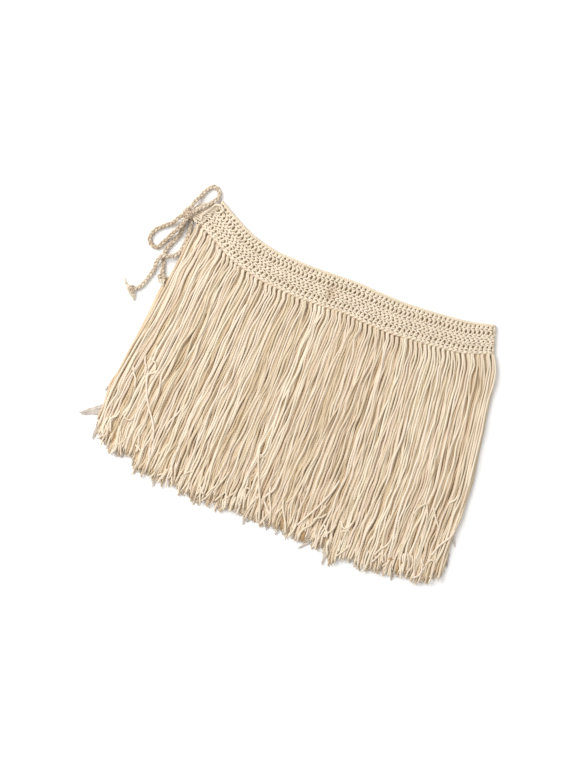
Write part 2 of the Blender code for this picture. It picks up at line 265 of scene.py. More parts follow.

# Ends among the front strands, coloured brown as painted shade of the layers below: X, Y, height of
# root and tip, width, fibres
PAINTED_SHADE_ENDS = [
    ((37, -149, 5.3), (38.5, -165, 4.6), 5, 40), ((63, -151, 5.3), (67, -169, 4.6), 8, 60),
    ((173, -149, 5.3), (174, -161, 4.6), 3.4, 26),
    ((184.5, -147, 5.3), (186, -163, 4.6), 4.6, 36),
    ((-186, -130, 4.8), (-188, -141, 4.2), 3.6, 26),
    ((-176.5, -126, 4.8), (-180, -138, 4.2), 4, 28),
    ((-128, -146, 4.8), (-129, -157, 4.2), 3, 20), ((-34, -154, 4.8), (-34.5, -164, 4.2), 3, 20),
]
TUFT_FIBRES = 26
FIBRE_RADIUS = 0.3
FIBRE_SIDES = 4
# Frayed end of a strand
END_FIBRES = 2
END_LENGTH = (2.0, 4.5)
END_RADIUS = 0.62
END_TONE = 0.3

# Soft sideways swerves of whole locks and of single strands: lowest and highest share of the
# fall at which they lie, size, width
LOCK_SWERVES = [
    (0.03, 0.1, 1.15, 0.04), (0.1, 0.22, 1, 0.055), (0.2, 0.4, 0.75, 0.07),
    (0.4, 0.6, 0.65, 0.07), (0.6, 0.8, 0.6, 0.07), (0.8, 1, 0.7, 0.06),
]
STRAND_SWERVES = [
    (0.04, 0.12, 0.75, 0.03), (0.1, 0.22, 0.65, 0.045), (0.18, 0.34, 0.85, 0.05),
    (0.32, 0.48, 0.85, 0.05), (0.46, 0.62, 0.85, 0.055), (0.6, 0.76, 0.85, 0.05),
    (0.74, 0.9, 0.8, 0.05), (0.88, 1, 1.05, 0.045),
]
# How far the front strands come out to the right before they fall, at the left edge and at the
# right edge, and the share of the fall there
ROOT_BEND = (1.9, 0.6)
ROOT_BEND_FALL = 0.022
# How far strands stray sideways over their whole length, and near the hem, from where on
STRAND_SLANT = 1.5
HEM_FLARE = 2.4
FLARE_FROM = 0.84
FLARE_OVER = 0.16
# How much of all this is left at the two side edges, and the share of the width that it takes
EDGE_CALM = 0.35
EDGE_SHARE = 0.05
# Strands on top that cross over to a neighbour's place: their share, where, how far and how high
CROSSING_SHARE = 0.25
CROSSING_AT = (0.02, 0.85)
CROSSING_FALL = 0.14
CROSSING_BY = (2.8, 5.4)
CROSSING_RISE = 1.2

# A small dent in the crochet, whose yarns are also painted darker as shade: place along and up the
# band, half width and half height
DENT = (177.0, 18.0, 3.4, 8.0)
DENT_DEPTH = 1.4

# Yarn of the crocheted rows
STITCH_SIDES = 6
CORE_HALF = 0.3
CORE_DEPTH = 1.1

# Left end of the band, drawn towards the bow: yarns whose middles and ends lie between two
# places, chains laced over them (X, Y points and height), and a loose curl on top
STITCH_RADIUS = 1.2
END_YARNS = 11
END_PLACES = [
    ((-189.6, 145, 6.6), (-174, 170, 6.4)), ((-195, 147.2, 5.4), (-185, 166.5, 5.6)),
]
END_LACING = [
    ([(-186.5, 143.2), (-190.6, 145.2), (-193.5, 149), (-192, 154)], 7.2),
    ([(-183, 147.5), (-184.6, 152), (-181.6, 158), (-177.4, 164.4), (-173, 171.5)], 7.5),
    ([(-191.5, 157.5), (-186, 160.6), (-180.5, 166.8), (-175.5, 174.6)], 7),
]
CURL_HEIGHT = 8.6
CURL_RADIUS = 1.3
CURL = [
    (-176.2, 166.4), (-174.2, 169.8), (-169.6, 171.4), (-165.2, 170.6), (-162.6, 167.6),
    (-163.8, 165),
]

# Ties: braided cord. Routes are X, Y, height of the centre above the surface
CORD_STEP = 0.9
PLAIT_PITCH = 15.0
PLAIT_ACROSS = 1.55
PLAIT_HEIGHT = 1.25
PLAIT_RADIUS = 1.3
PLAIT_DROP = 0.5
PLAIT_TONES = 0.27
PLAIT_SIDES = 8
BOW_KNOT_CENTRE = (-200.0, 149.5, 7.4)
END_KNOT_HEIGHT = 4.8
KNOT_STEP = 0.8
KNOT_SCALE = 0.72
KNOT_THICKNESS = 1.35
# End knots: name, replaced node, and X, Y place, turn in radians, size
END_KNOTS = [
    ("left_end_knot", "tail_left_knot", ((-232.6, 40.9), 0.6, 1.15)),
    ("right_end_knot", "tail_right_knot", ((-202.4, 65.6), 2.1, 1.4)),
]

# Wrap of the bow: its axis in plan, points, angles in degrees, slide along the axis, half width
# and half height
BOW_AXIS = (6.5, 13.8)
BOW_STEPS = 27
BOW_START = -140.0
BOW_TURN = 24.0
BOW_SLIDE = (-2.4, 0.19)
BOW_WRAP = (5.4, 4.6)
BOW_SCALE = 0.85

# Unravelled yarn beyond the end knots: root, tip, width, number of fibres
LEFT_FRAY = [
    ((-235, 41.5, 3.6), (-241, 44.6, 2.4), 4, 22), ((-240, 44, 2.4), (-246, 52, 1.2), 2.2, 14),
    ((-232, 39.5, 3.2), (-223.6, 29.4, 1), 9, 42),
]
RIGHT_FRAY = [
    ((-201.4, 64.6, 6.4), (-197.6, 56, 7.6), 6, 34),
]

# The tie from the front end of the band: knot, lower loop, knot, right tail
FRONT_TIE_ROUTE = [
    (-177.5, 150.9, 4.9), (-181.9, 151.5, 4.9), (-185.2, 152.8, 4.9), (-188.6, 151.8, 4.8),
    (-191.7, 150.7, 4.7), (-196.5, 149.7, 5.6), (-201.8, 147.4, 8.6), (-206.5, 144.1, 10.2),
    (-209.7, 139, 9.2), (-213.2, 134, 6.2), (-218, 129.2, 4), (-223.6, 124.6, 3.4),
    (-229, 119.2, 3.4), (-232.6, 112.6, 3.4), (-233.4, 105.8, 3.4), (-230.2, 100.3, 3.4),
    (-224.6, 97.8, 3.4), (-219.8, 99.8, 3.4), (-217.2, 105, 3.4), (-214.3, 111, 3.8),
    (-211, 117, 6.2), (-207.8, 123.2, 9.3), (-204.4, 129.5, 10.3), (-201.8, 135.5, 10.3),
    (-200.3, 141.1, 10.2), (-199.6, 146, 10.2), (-199.6, 150.2, 8.8), (-199.9, 151.2, 6.2),
    (-200.4, 149, 4.1), (-201, 145.2, 3.5), (-201.4, 141.1, 3.4), (-201, 135, 3.4),
    (-200.9, 128, 3.4), (-201.9, 120.5, 3.4), (-204.8, 113, 3.4), (-208.2, 105.6, 3.4),
    (-210.3, 98.4, 3.4), (-210, 91.6, 3.4), (-207.9, 85.4, 3.4), (-206.3, 79, 3.5),
    (-204.4, 72.5, 4), (-203.4, 68.5, 4.6),
]

# The tie from the back end of the band: knot, upper loop, knot, left tail
BACK_TIE_ROUTE = [
    (-171, 163.6, 3.2), (-174.6, 165.8, 3.4), (-179.4, 167.9, 3.4), (-185.6, 166, 3.4),
    (-190.9, 161.9, 3.4), (-195.3, 156.5, 3.4), (-199.2, 151.4, 3.6), (-202.8, 149.6, 5.2),
    (-203.6, 151.6, 8), (-202.2, 154.6, 9.9), (-200, 157.9, 10.2), (-198.6, 163.5, 8.9),
    (-196.4, 169.5, 6), (-193.8, 175.6, 3.9), (-191.2, 181.6, 3.4), (-187.6, 187.4, 3.4),
    (-182.4, 190.7, 3.4), (-177, 189, 3.4), (-174, 184.2, 3.6), (-174.4, 178.4, 5),
    (-177, 173.6, 8.2), (-180.9, 169, 10.4), (-185.6, 163.9, 10.5), (-189.8, 159.6, 10.3),
    (-193.8, 155.1, 10.2), (-197, 151, 9), (-197.4, 147.2, 6), (-194.8, 142.9, 3.4),
    (-192.7, 136, 3.4), (-191.8, 128, 3.4), (-191.6, 119, 3.4), (-192.3, 110, 3.4),
    (-194.3, 102.5, 3.6), (-198.2, 96.6, 5), (-203.6, 93.3, 8.2), (-209.5, 91.9, 10.3),
    (-213.6, 87.6, 9.4), (-215.1, 81.2, 6), (-215.4, 74.5, 3.8), (-216.4, 67, 3.4),
    (-218.6, 59.5, 3.4), (-220.9, 52.2, 3.4), (-223.8, 46.6, 3.5), (-227.8, 43.2, 4),
    (-231.2, 41.4, 4.6),
]


def catmull(before, start, end, after, share):
    """Points at shares of the way from start to end on a smooth curve through four points."""
    squared = share * share
    cubed = squared * share
    return (
        start * 2.0
        + (end - before) * share
        + (before * 2.0 - start * 5.0 + end * 4.0 - after) * squared
        + (start * 3.0 - before - end * 3.0 + after) * cubed
    ) * 0.5


class SmoothCurve:
    """A smooth curve through points, read by distances along it."""

    FINE_STEPS = 24

    def __init__(self, points):
        inner = np.array(points, float)
        before = inner[0] * 2.0 - inner[1]
        after = inner[-1] * 2.0 - inner[-2]
        places = np.array([before, *inner, after])
        share = np.arange(1.0, self.FINE_STEPS + 1.0)[:, None] / self.FINE_STEPS
        spans = [catmull(*places[start:start + 4], share) for start in range(len(inner) - 1)]
        self.fine = np.concatenate([inner[:1], *spans])
        steps = np.linalg.norm(np.diff(self.fine, axis=0), axis=1)
        self.reach = np.concatenate([[0.0], np.cumsum(steps)])
        self.length = self.reach[-1]
        self.slope = unit(np.gradient(self.fine, self.reach, axis=0))

    def at(self, distance):
        """Points and directions at distances, running on straight past either end."""
        inside = np.clip(distance, 0.0, self.length)
        place, direction = (
            np.stack([np.interp(inside, self.reach, values) for values in table.T], axis=-1)
            for table in (self.fine, self.slope)
        )
        direction = unit(direction)
        return place + direction * (distance - inside)[..., None], direction


def unit(vectors):
    """Vectors at length one."""
    return vectors / np.maximum(np.linalg.norm(vectors, axis=-1, keepdims=True), 1e-12)


def leftward(directions):
    """Directions turned a quarter to the left in plan."""
    level = np.zeros(directions.shape[:-1])
    return np.stack([-directions[..., 1], directions[..., 0], level], axis=-1)


def column(rows, place, number):
    """A column of a table, read between its rows."""
    table = np.array(rows)
    return np.interp(place, table[:, 0], table[:, number])


class YarnMesh:
    """Gathers yarns, each a swept tube, into one mesh with coordinates along them."""

    def __init__(self):
        self.places = []
        self.quads = []
        self.lengthwise = []
        self.tones = []
        self.count = 0

    def add(self, lines, radii, tones, sides, normals=UP):
        """Tubes along lines[yarn, point] with radii and normals at the points, a tone a yarn."""
        yarns, points = lines.shape[:2]
        tangents = unit(np.gradient(lines, axis=1))
        across = unit(np.cross(tangents, normals))
        outward = np.cross(across, tangents)
        turns = (np.arange(sides) * TURN / sides)[:, None]
        ring = across[:, :, None] * np.cos(turns) + outward[:, :, None] * np.sin(turns)
        places = lines[:, :, None] + ring * radii[:, :, None, None]
        self.places.append(places.reshape(-1, 3))
        self.tones.append(np.repeat(tones, points * sides))

        steps = np.linalg.norm(np.diff(lines, axis=1), axis=2)
        reach = np.concatenate([np.zeros((yarns, 1)), np.cumsum(steps, axis=1)], axis=1)
        side = np.arange(sides)
        after = (side + 1) % sides
        near = np.arange(yarns * points).reshape(yarns, points, 1)[:, :-1] * sides
        far = near + sides
        quads = np.stack([near + side, near + after, far + after, far + side], axis=-1)
        self.quads.append(quads.reshape(-1, 4) + self.count)
        left = np.broadcast_to(side / sides, (yarns, points - 1, sides))
        right = left + 1.0 / sides
        low = reach[:, :-1, None] + 0.0 * left
        high = reach[:, 1:, None] + 0.0 * left
        corners = np.stack([low, left, low, right, high, right, high, left], axis=-1)
        self.lengthwise.append(corners.reshape(-1, 2))

        start = (np.arange(yarns) * points * sides + self.count)[:, None]
        end = start + (points - 1) * sides
        for first in range(0, sides - 2, 2):
            caps = np.array([0, first + 1, first + 2, first + 3])
            self.quads.append(start + caps[::-1])
            self.quads.append(end + caps)
            self.lengthwise.append(np.zeros((yarns * 8, 2)))
        self.count += yarns * points * sides

    def add_one(self, line, radius, tone, sides, normals=UP):
        """One tube of an even radius along line[point]."""
        self.add(line[None], np.full((1, len(line)), radius), np.array([tone]), sides, normals)

    def build(self, name, material):
        """The finished piece, in metres in the part's frame."""
        places = np.concatenate(self.places) * MM + ORIGIN
        places[:, 2] = np.maximum(places[:, 2], 0.0)
        quads = np.concatenate(self.quads)
        mesh = bpy.data.meshes.new(name)
        mesh.from_pydata(places.tolist(), [], quads.tolist())
        layer = mesh.uv_layers.new(name="yarn")
        layer.data.foreach_set("uv", np.concatenate(self.lengthwise).astype(np.float32).ravel())
        tone = mesh.attributes.new("tone", "FLOAT", "POINT")
        tone.data.foreach_set("value", np.concatenate(self.tones).astype(np.float32))
        mesh.shade_smooth()
        mesh.materials.append(material)
        return finish_piece(name, mesh)


def add_to_scene(name, data):
    """A new object in the scene."""
    item = bpy.data.objects.new(name, data)
    bpy.context.scene.collection.objects.link(item)
    return item


def finish_piece(name, mesh):
    """An object for a mesh, riding on the root body."""
    item = add_to_scene(name, mesh)
    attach(item, "root")
    return item


# Materials

def set_inputs(tree, node, values):
    """Gives inputs of a node a number, a colour or the output of another node."""
    for key, value in values.items():
        if isinstance(value, (int, float)):
            node.inputs[key].default_value = value
        elif isinstance(value, tuple):
            node.inputs[key].default_value = (*value, 1.0)
        else:
            tree.links.new(value, node.inputs[key])


def add_node(tree, kind, inputs=None, **settings):
    """A new node with its settings and inputs."""
    node = tree.nodes.new(kind)
    for key, value in settings.items():
        setattr(node, key, value)
    set_inputs(tree, node, inputs or {})
    return node


def mix_colour(tree, share, one, two, blend="MIX"):
    """A colour mix between two colours."""
    values = {0: share, 6: one, 7: two}
    return add_node(
        tree, "ShaderNodeMix", values, data_type="RGBA", blend_type=blend
    ).outputs[2]


def add_noise(tree, scale, detail):
    """Noise that stays on the object."""
    place = add_node(tree, "ShaderNodeTexCoord").outputs["Object"]
    values = {"Vector": place, "Scale": scale, "Detail": detail}
    return add_node(tree, "ShaderNodeTexNoise", values).outputs["Fac"]


def new_material(name, values):
    """A material, its node tree and its shader with some inputs set."""
    material = bpy.data.materials.new(name)
    material.use_nodes = True
    tree = material.node_tree
    shader = tree.nodes["Principled BSDF"]
    set_inputs(tree, shader, values)
    return material, tree, shader


def finish_shader(tree, shader, colour, height, strength, distance):
    """The colour of a shader and its fine relief."""
    relief = {"Height": height, "Strength": strength, "Distance": distance}
    bump = add_node(tree, "ShaderNodeBump", relief)
    set_inputs(tree, shader, {"Base Color": colour, "Normal": bump.outputs[0]})


def yarn_material(name, pale, deep, ply_pitch, plies, relief):
    """Spun cotton: plies that twist along the yarn, loose fibres, and a tone for each yarn."""
    material, tree, shader = new_material(name, YARN_SURFACE)

    def calc(operation, *values):
        """A math node between sockets or numbers."""
        inputs = dict(enumerate(values))
        return add_node(tree, "ShaderNodeMath", inputs, operation=operation).outputs[0]

    uv = add_node(tree, "ShaderNodeUVMap", uv_map="yarn")
    split = add_node(tree, "ShaderNodeSeparateXYZ", {0: uv.outputs[0]})
    around = calc("MULTIPLY", split.outputs[1], math.pi * plies)
    along = calc("MULTIPLY", split.outputs[0], math.pi * plies / ply_pitch)
    ply = calc("ABSOLUTE", calc("SINE", calc("ADD", around, along)))
    rounded = calc("POWER", ply, PLY_ROUNDING)
    fibres = add_noise(tree, *FIBRE_NOISE)
    patches = calc("MULTIPLY", add_noise(tree, *PATCH_NOISE), PATCH_SHADE)

    tone = add_node(tree, "ShaderNodeAttribute", attribute_name="tone").outputs["Fac"]
    shade = calc("ADD", calc("MULTIPLY", tone, TONE_SHADE), patches)
    shade = calc("MINIMUM", calc("MAXIMUM", shade, 0.0), 1.0)
    cast = mix_colour(tree, calc("FRACT", calc("MULTIPLY", tone, CAST_SCATTER)), *YARN_CASTS)
    base = mix_colour(tree, 1.0, mix_colour(tree, shade, pale, deep), cast, "MULTIPLY")
    # Painted shade in the grooves between the plies, mixed towards the deep colour
    depth = calc("MULTIPLY", calc("SUBTRACT", 1.0, rounded), GROOVE_PAINTED_SHADE * relief)
    speck = calc("MULTIPLY", calc("SUBTRACT", fibres, 0.5), FIBRE_SHADE)
    shown = {0: mix_colour(tree, depth, base, deep), "Scale": calc("ADD", 1.0, speck)}
    colour = add_node(tree, "ShaderNodeVectorMath", shown, operation="SCALE").outputs[0]

    height = calc("ADD", rounded, calc("MULTIPLY", fibres, FIBRE_RELIEF))
    strength, distance = YARN_BUMP
    finish_shader(tree, shader, colour, height, strength * relief, distance)
    return material


def painted_shade_material(name, colour):
    """Painted shade: a dark colour on the cloth that stands in for the shadow in the depth of the
    crochet, seen between its yarns.
    """
    material, tree, shader = new_material(name, {"Roughness": 0.95})
    noise = add_noise(tree, *DEPTH_NOISE)
    darker = tuple(value * DEPTH_DARKER for value in colour)
    finish_shader(tree, shader, mix_colour(tree, noise, colour, darker), noise, *DEPTH_BUMP)
    return material


# Waistband

def band_in_plan(distance, up):
    """Points of the laid band in plan, and the direction along it."""
    narrower = column(BAND_NARROWER, distance / CENTRELINE.length, 1)
    up = up * (1.0 - narrower / BAND_WIDTH)
    centre, direction = CENTRELINE.at(distance)
    return centre + leftward(direction) * (up - BAND_WIDTH / 2.0)[..., None], direction


def strip_point(along, up, out):
    """Point of the folded strip and its outward normal.

    along runs over the front half, round the fold and back; out is measured from mid wall.
    """
    fold_height = WALL + LAYER_GAP / 2.0
    middle = LAYER_GAP / 2.0 + WALL / 2.0
    turn = np.clip((along - CENTRELINE.length) / middle, 0.0, math.pi)
    past = np.maximum(along - CENTRELINE.length - math.pi * middle, 0.0)
    distance = np.minimum(along, CENTRELINE.length) - past
    place, direction = band_in_plan(distance, up)
    radius = middle + out
    place = place + direction * (radius * np.sin(turn))[..., None]
    place[..., 2] = fold_height + radius * np.cos(turn)
    normal = direction * np.sin(turn)[..., None]
    normal[..., 2] = np.cos(turn)
    return place, normal


def row_wander(stitch):
    """How far the crochet rows stray up or down along the band."""
    along = stitch * PITCH
    return 0.6 * np.sin(along / 15.0 + 0.8) + 0.35 * np.sin(along / 6.5 + 2.0)


def add_rows(yarns, first, last, rng):
    """The crochet yarns of the stitches from first up to last."""
    per_stitch = 12
    steps = (last - first) * per_stitch + 1
    stitch = np.linspace(first, last, steps)
    phase = stitch * TURN

    def run(up, out, stray, radius, tone):
        """A yarn that runs on from stitch to stitch."""
        along = stitch * PITCH
        place, normal = strip_point(along, up + stray * row_wander(stitch), out + 0.0 * along)
        yarns.add_one(place, radius, tone, STITCH_SIDES, normal)

    # A cord of two twisted yarns along the top, and straight yarns under the loops at the fringe
    for side in (0.0, math.pi):
        run(39.0 + 0.75 * np.cos(phase + side), 0.5 * np.sin(phase + side), 0.2, 1.15, 0.2)
    # The lowest of these has a deeper tone: painted shade along the band's edge
    run(0.6, -0.9, 0.9, 1.05, 0.6)
    run(2.2, -0.3, 0.9, 1.15, 0.2)

    posts = np.arange(first, last) + 0.5

    def leg(starts, ends, bow, radius, tone):
        """One yarn a stitch: from (shift, up, out) to (shift, up, out), bowed along, up and out."""
        share = np.linspace(0.0, 1.0, 6)[None, :]
        arch = np.sin(share * math.pi)
        turn = rng.normal(0.0, 0.07, (len(posts), 1))
        jitter = rng.normal(0.0, 0.045, (len(posts), 1))
        shift, up, out = (
            start + (end - start) * share + bend * arch
            for start, end, bend in zip(starts, ends, bow)
        )
        shift = shift + jitter + turn * (share - 0.5)
        up = up + rng.normal(0.0, 0.16, (len(posts), 1)) + row_wander(posts[:, None] + shift)
        out = out + rng.normal(0.0, 0.12, (len(posts), 1))
        along = (posts[:, None] + shift) * PITCH
        dent = np.exp(-((along - DENT[0]) / DENT[2]) ** 2 - ((up - DENT[1]) / DENT[3]) ** 2)
        place, normal = strip_point(along, up, out - DENT_DEPTH * dent)
        radii = np.full(along.shape, radius) * rng.uniform(0.94, 1.08, (len(posts), 1))
        # Yarns in the dent get painted shade: a deeper tone
        tones = tone + rng.normal(0.0, 0.10, len(posts)) + 0.9 * dent.max(axis=1)
        tones = np.clip(tones, 0.0, 1.0)
        yarns.add(place, radii, tones, STITCH_SIDES, normal)

    def chain(level, lift, offset):
        """A row of V-shaped loops that point along the band."""
        for side, tone in ((1.0, 0.12), (-1.0, 0.22)):
            start = (offset - 0.58, level + 0.05 * side, lift - 0.5)
            end = (offset + 0.38, level + 1.6 * side, lift - 0.1)
            leg(start, end, (0.0, 0.45 * side, 0.5), 1.09, tone)

    def cross(low, high, slant, radius, bow):
        """A row of legs that cross in pairs, with a hole between the pairs."""
        leg((-0.35, low, -0.35), (0.29 + slant, high, -0.15), (0.0, 0.0, 0.5), radius, 0.2)
        leg((0.35, low, -0.45), (-0.31 + slant, high, -0.3), (bow, 0.0, -0.05), radius, 0.35)

    # Loops that reach round the edge, then the rows one above the other
    leg((-0.50, 0.4, -0.5), (0.42, 2.8, 0.2), (0.0, 0.3, 0.55), 1.12, 0.1)
    leg((-0.12, 3.2, -0.4), (0.62, 1.3, -0.3), (0.0, 0.2, 0.4), 1.0, 0.3)
    chain(4.7, 0.25, 0.0)
    cross(5.9, 11.4, -0.03, 1.26, 0.0)
    chain(12.9, 0.45, 0.5)
    cross(14.0, 18.2, 0.06, 1.36, 0.05)
    chain(19.4, 0.2, 0.0)
    chain(23.0, 0.25, 0.5)
    cross(24.2, 31.0, 0.08, 1.24, 0.04)
    chain(32.4, 0.45, 0.0)
    cross(33.6, 37.8, -0.04, 1.34, 0.0)


def quads_between(one, two, over):
    """Quads between two rows of point numbers, turned over or not."""
    if over:
        corners = [one[:-1], two[:-1], two[1:], one[1:]]
    else:
        corners = [one[:-1], one[1:], two[1:], two[:-1]]
    return np.stack(corners, axis=-1).reshape(-1, 4)


def build_core(material):
    """The cloth of the band as one thin folded shell, which the crochet rows stand on."""
    lengthwise = np.linspace(0.0, STRIP_LENGTH, 2 * 4 * STITCHES)
    crosswise = np.linspace(1.0, BAND_WIDTH - 1.0, 12)
    along, up = np.meshgrid(lengthwise, crosswise, indexing="ij")
    layers = [
        strip_point(along, up, out + 0.0 * along)[0].reshape(-1, 3)
        for out in (-CORE_HALF - CORE_DEPTH, CORE_HALF - CORE_DEPTH)
    ]
    places = np.concatenate(layers) * MM + ORIGIN
    inner, outer = np.arange(len(places)).reshape(2, *along.shape)
    faces = np.concatenate([
        quads_between(inner[:, :-1], inner[:, 1:], False),
        quads_between(outer[:, :-1], outer[:, 1:], True),
        quads_between(inner[:, 0], outer[:, 0], True),
        quads_between(inner[:, -1], outer[:, -1], False),
        quads_between(inner[0], outer[0], False),
        quads_between(inner[-1], outer[-1], True),
    ])
    mesh = bpy.data.meshes.new("band_cloth")
    mesh.from_pydata(places.tolist(), [], faces.tolist())
    mesh.update()
    mesh.shade_smooth()
    mesh.materials.append(material)
    return finish_piece("band_cloth", mesh)


def build_band(material, core_material):
    """The crocheted band: its cloth, painted dark as shade, and the yarns of the front, fold and
    back.
    """
    core = build_core(core_material)
    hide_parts("waistband")
    rng = np.random.default_rng(11)
    pieces = []
    for side, first, last in (("front", 0, STITCHES), ("back", STITCHES, 2 * STITCHES + 1)):
        yarns = YarnMesh()
        add_rows(yarns, first, last, rng)
        pieces.append(yarns.build(f"band_stitches_{side}", material))
    return core, pieces


def build_band_end(material):
    """The left end of the band, drawn towards the bow, and the curl on it."""
    rng = np.random.default_rng(12)
    yarns = YarnMesh()
    for index in range(END_YARNS):
        share = index / (END_YARNS - 1)
        start, _ = strip_point(np.array([4.0]), np.array([2.0 + 35.0 * share]), np.array([0.9]))
        middle, end = (
            np.array(low) + (np.array(high) - np.array(low)) * share for low, high in END_PLACES
        )
        path = SmoothCurve([start[0], middle, end])
        line, _ = path.at(np.linspace(0.0, path.length, 10))
        line[:, 2] += rng.normal(0.0, 0.25)
        radius = STITCH_RADIUS * rng.uniform(0.95, 1.1)
        yarns.add_one(line, radius, rng.uniform(0.1, 0.5), STITCH_SIDES)
    for points, height in END_LACING:
        path = SmoothCurve([(x, y, height) for x, y in points])
        distance = np.linspace(0.0, path.length, round(path.length / CORD_STEP))
        line, tangent = path.at(distance)
        for side in (0.0, math.pi):
            phase = distance * TURN / PITCH + side
            twisted = line + leftward(tangent) * (0.9 * np.cos(phase))[:, None]
            twisted[:, 2] += 0.5 * np.sin(phase)
            yarns.add_one(twisted, STITCH_RADIUS, 0.15, STITCH_SIDES)
    path = SmoothCurve([(x, y, CURL_HEIGHT) for x, y in CURL])
    line, _ = path.at(np.linspace(0.0, path.length, 22))
    yarns.add_one(line, CURL_RADIUS, 0.0, STITCH_SIDES)
    return yarns.build("band_end", material)


# Fringe

def fringe_in_plan(spread, share, fall, longer):
    """Points in plan at shares across the fringe and shares of its fall."""
    root, _ = band_in_plan(share * FRINGE_REACH, np.full_like(share, -SEAM_GAP - STRIP_WIDTH))
    left = column(spread, fall, 1) * (1.0 - share) ** SPREAD_POWER
    right = column(spread, fall, 2) * share ** SPREAD_POWER
    hem = column(FRINGE_HEM, share, 1) + longer
    return np.stack(
        [root[..., 0] + left + right, root[..., 1] + (hem - root[..., 1]) * fall], axis=-1
    )


def drift(share, fall, waves):
    """A slow sideways wander that neighbouring strands have in common."""
    total = np.zeros(np.broadcast(share, fall).shape)
    for across, down, size, offset in waves:
        total += size * np.sin(TURN * (across * share + down * fall) + offset)
    return total


def make_waves(rng, sizes, across, down):
    """Random slow waves: how many cross the fringe, how many its fall, their size and offset."""
    return [
        (rng.uniform(*across), rng.uniform(*down) * rng.choice([-1.0, 1.0]), size,
         rng.uniform(0.0, TURN))
        for size in sizes
    ]


def smooth_step(value):
    """Rises softly from 0 to 1."""
    inside = np.clip(value, 0.0, 1.0)
    return inside * inside * (3.0 - 2.0 * inside)


def parted(plan):
    """How far strands stand aside where the fringe parts."""
    aside = np.zeros(plan.shape[:-1])
    for x, y, wide, high in PARTINGS:
        away = plan[..., 0] - x
        near = np.exp(-(away / (2.6 * wide)) ** 2 - ((plan[..., 1] - y) / high) ** 2)
        aside += np.tanh(away / 0.6) * wide * near
    return aside


def strand_tops(share, middle, tops, lower, slip):
    """The first points of the strands, where they come out from under the band's edge."""
    edge = row_wander(share * FRINGE_REACH / PITCH) + slip
    points = []
    for up, height, apart in tops:
        across = middle + (share - middle) * apart
        place, _ = band_in_plan(across * FRINGE_REACH, up + edge)
        place[:, 2] = max(height + lower, STRAND_RADIUS)
        points.append(place)
    return np.stack(points, axis=1)


def swerves(rng, count, fall, ranges):
    """Sums of soft sideways bumps: lowest and highest share of the fall, size, width."""
    total = np.zeros((count, fall.shape[1]))
    for low, high, size, width in ranges:
        centre = rng.uniform(low, high, (count, 1))
        reach = rng.normal(0.0, size, (count, 1))
        total += reach * np.exp(-((fall - centre) / width) ** 2)
    return total


def strand_wander(rng, share, fall, layer, lively, waves, lean):
    """How far strands stray sideways, their own turns, and how high they rise to cross."""
    size = (len(share), 1)
    free = layer * lively
    wander = lean.copy()
    for group, at_root, by_hem in waves:
        wander += drift(share, fall, group) * (at_root + by_hem * fall)
    wander += swerves(rng, len(share), fall, STRAND_SWERVES) * (0.35 + 0.65 * lively)
    wander += rng.normal(0.0, STRAND_SLANT, size) * (0.3 + 0.7 * free) * fall
    flare = np.maximum((fall - FLARE_FROM) / FLARE_OVER, 0.0) ** 1.4
    wander += rng.normal(0.0, HEM_FLARE, size) * (0.4 + 0.6 * free) * flare
    turns = rng.uniform(*STRAND_TURNS, size)
    start = rng.uniform(0.0, TURN, size)
    own = np.sin(TURN * turns * fall + start) * (0.4 + 0.6 * lively)
    wander += own * (0.08 + 0.22 * fall + 0.45 * fall ** 3)
    crossing = rng.random(size) < CROSSING_SHARE * free
    since = fall - rng.uniform(*CROSSING_AT, size)
    cross_by = rng.uniform(*CROSSING_BY, size) * rng.choice([-1.0, 1.0], size)
    wander += crossing * cross_by * smooth_step(since / CROSSING_FALL)
    half = CROSSING_FALL / 2.0
    over = crossing * CROSSING_RISE * np.exp(-((since - half) / half) ** 2)
    kink_at = rng.uniform(*KINK_AT, size)
    kink = rng.normal(0.0, 1.0, size) * (1.0 + 2.5 * (rng.random(size) < 0.25))
    wander += kink * np.exp(-((fall - kink_at) / KINK_FALL) ** 2)
    return wander, turns, start, over


def strand_swell(rng, fall, turns, start):
    """Slow swells by which strands come to lie over and under others."""
    swell = 0.3 * np.sin(TURN * turns * 0.7 * fall + 2.0 * start)
    for low, high in SWELL_TURNS:
        phase = TURN * rng.uniform(low, high, turns.shape) * fall
        swell += SWELL * np.sin(phase + rng.uniform(0.0, 6.28, turns.shape))
    return swell


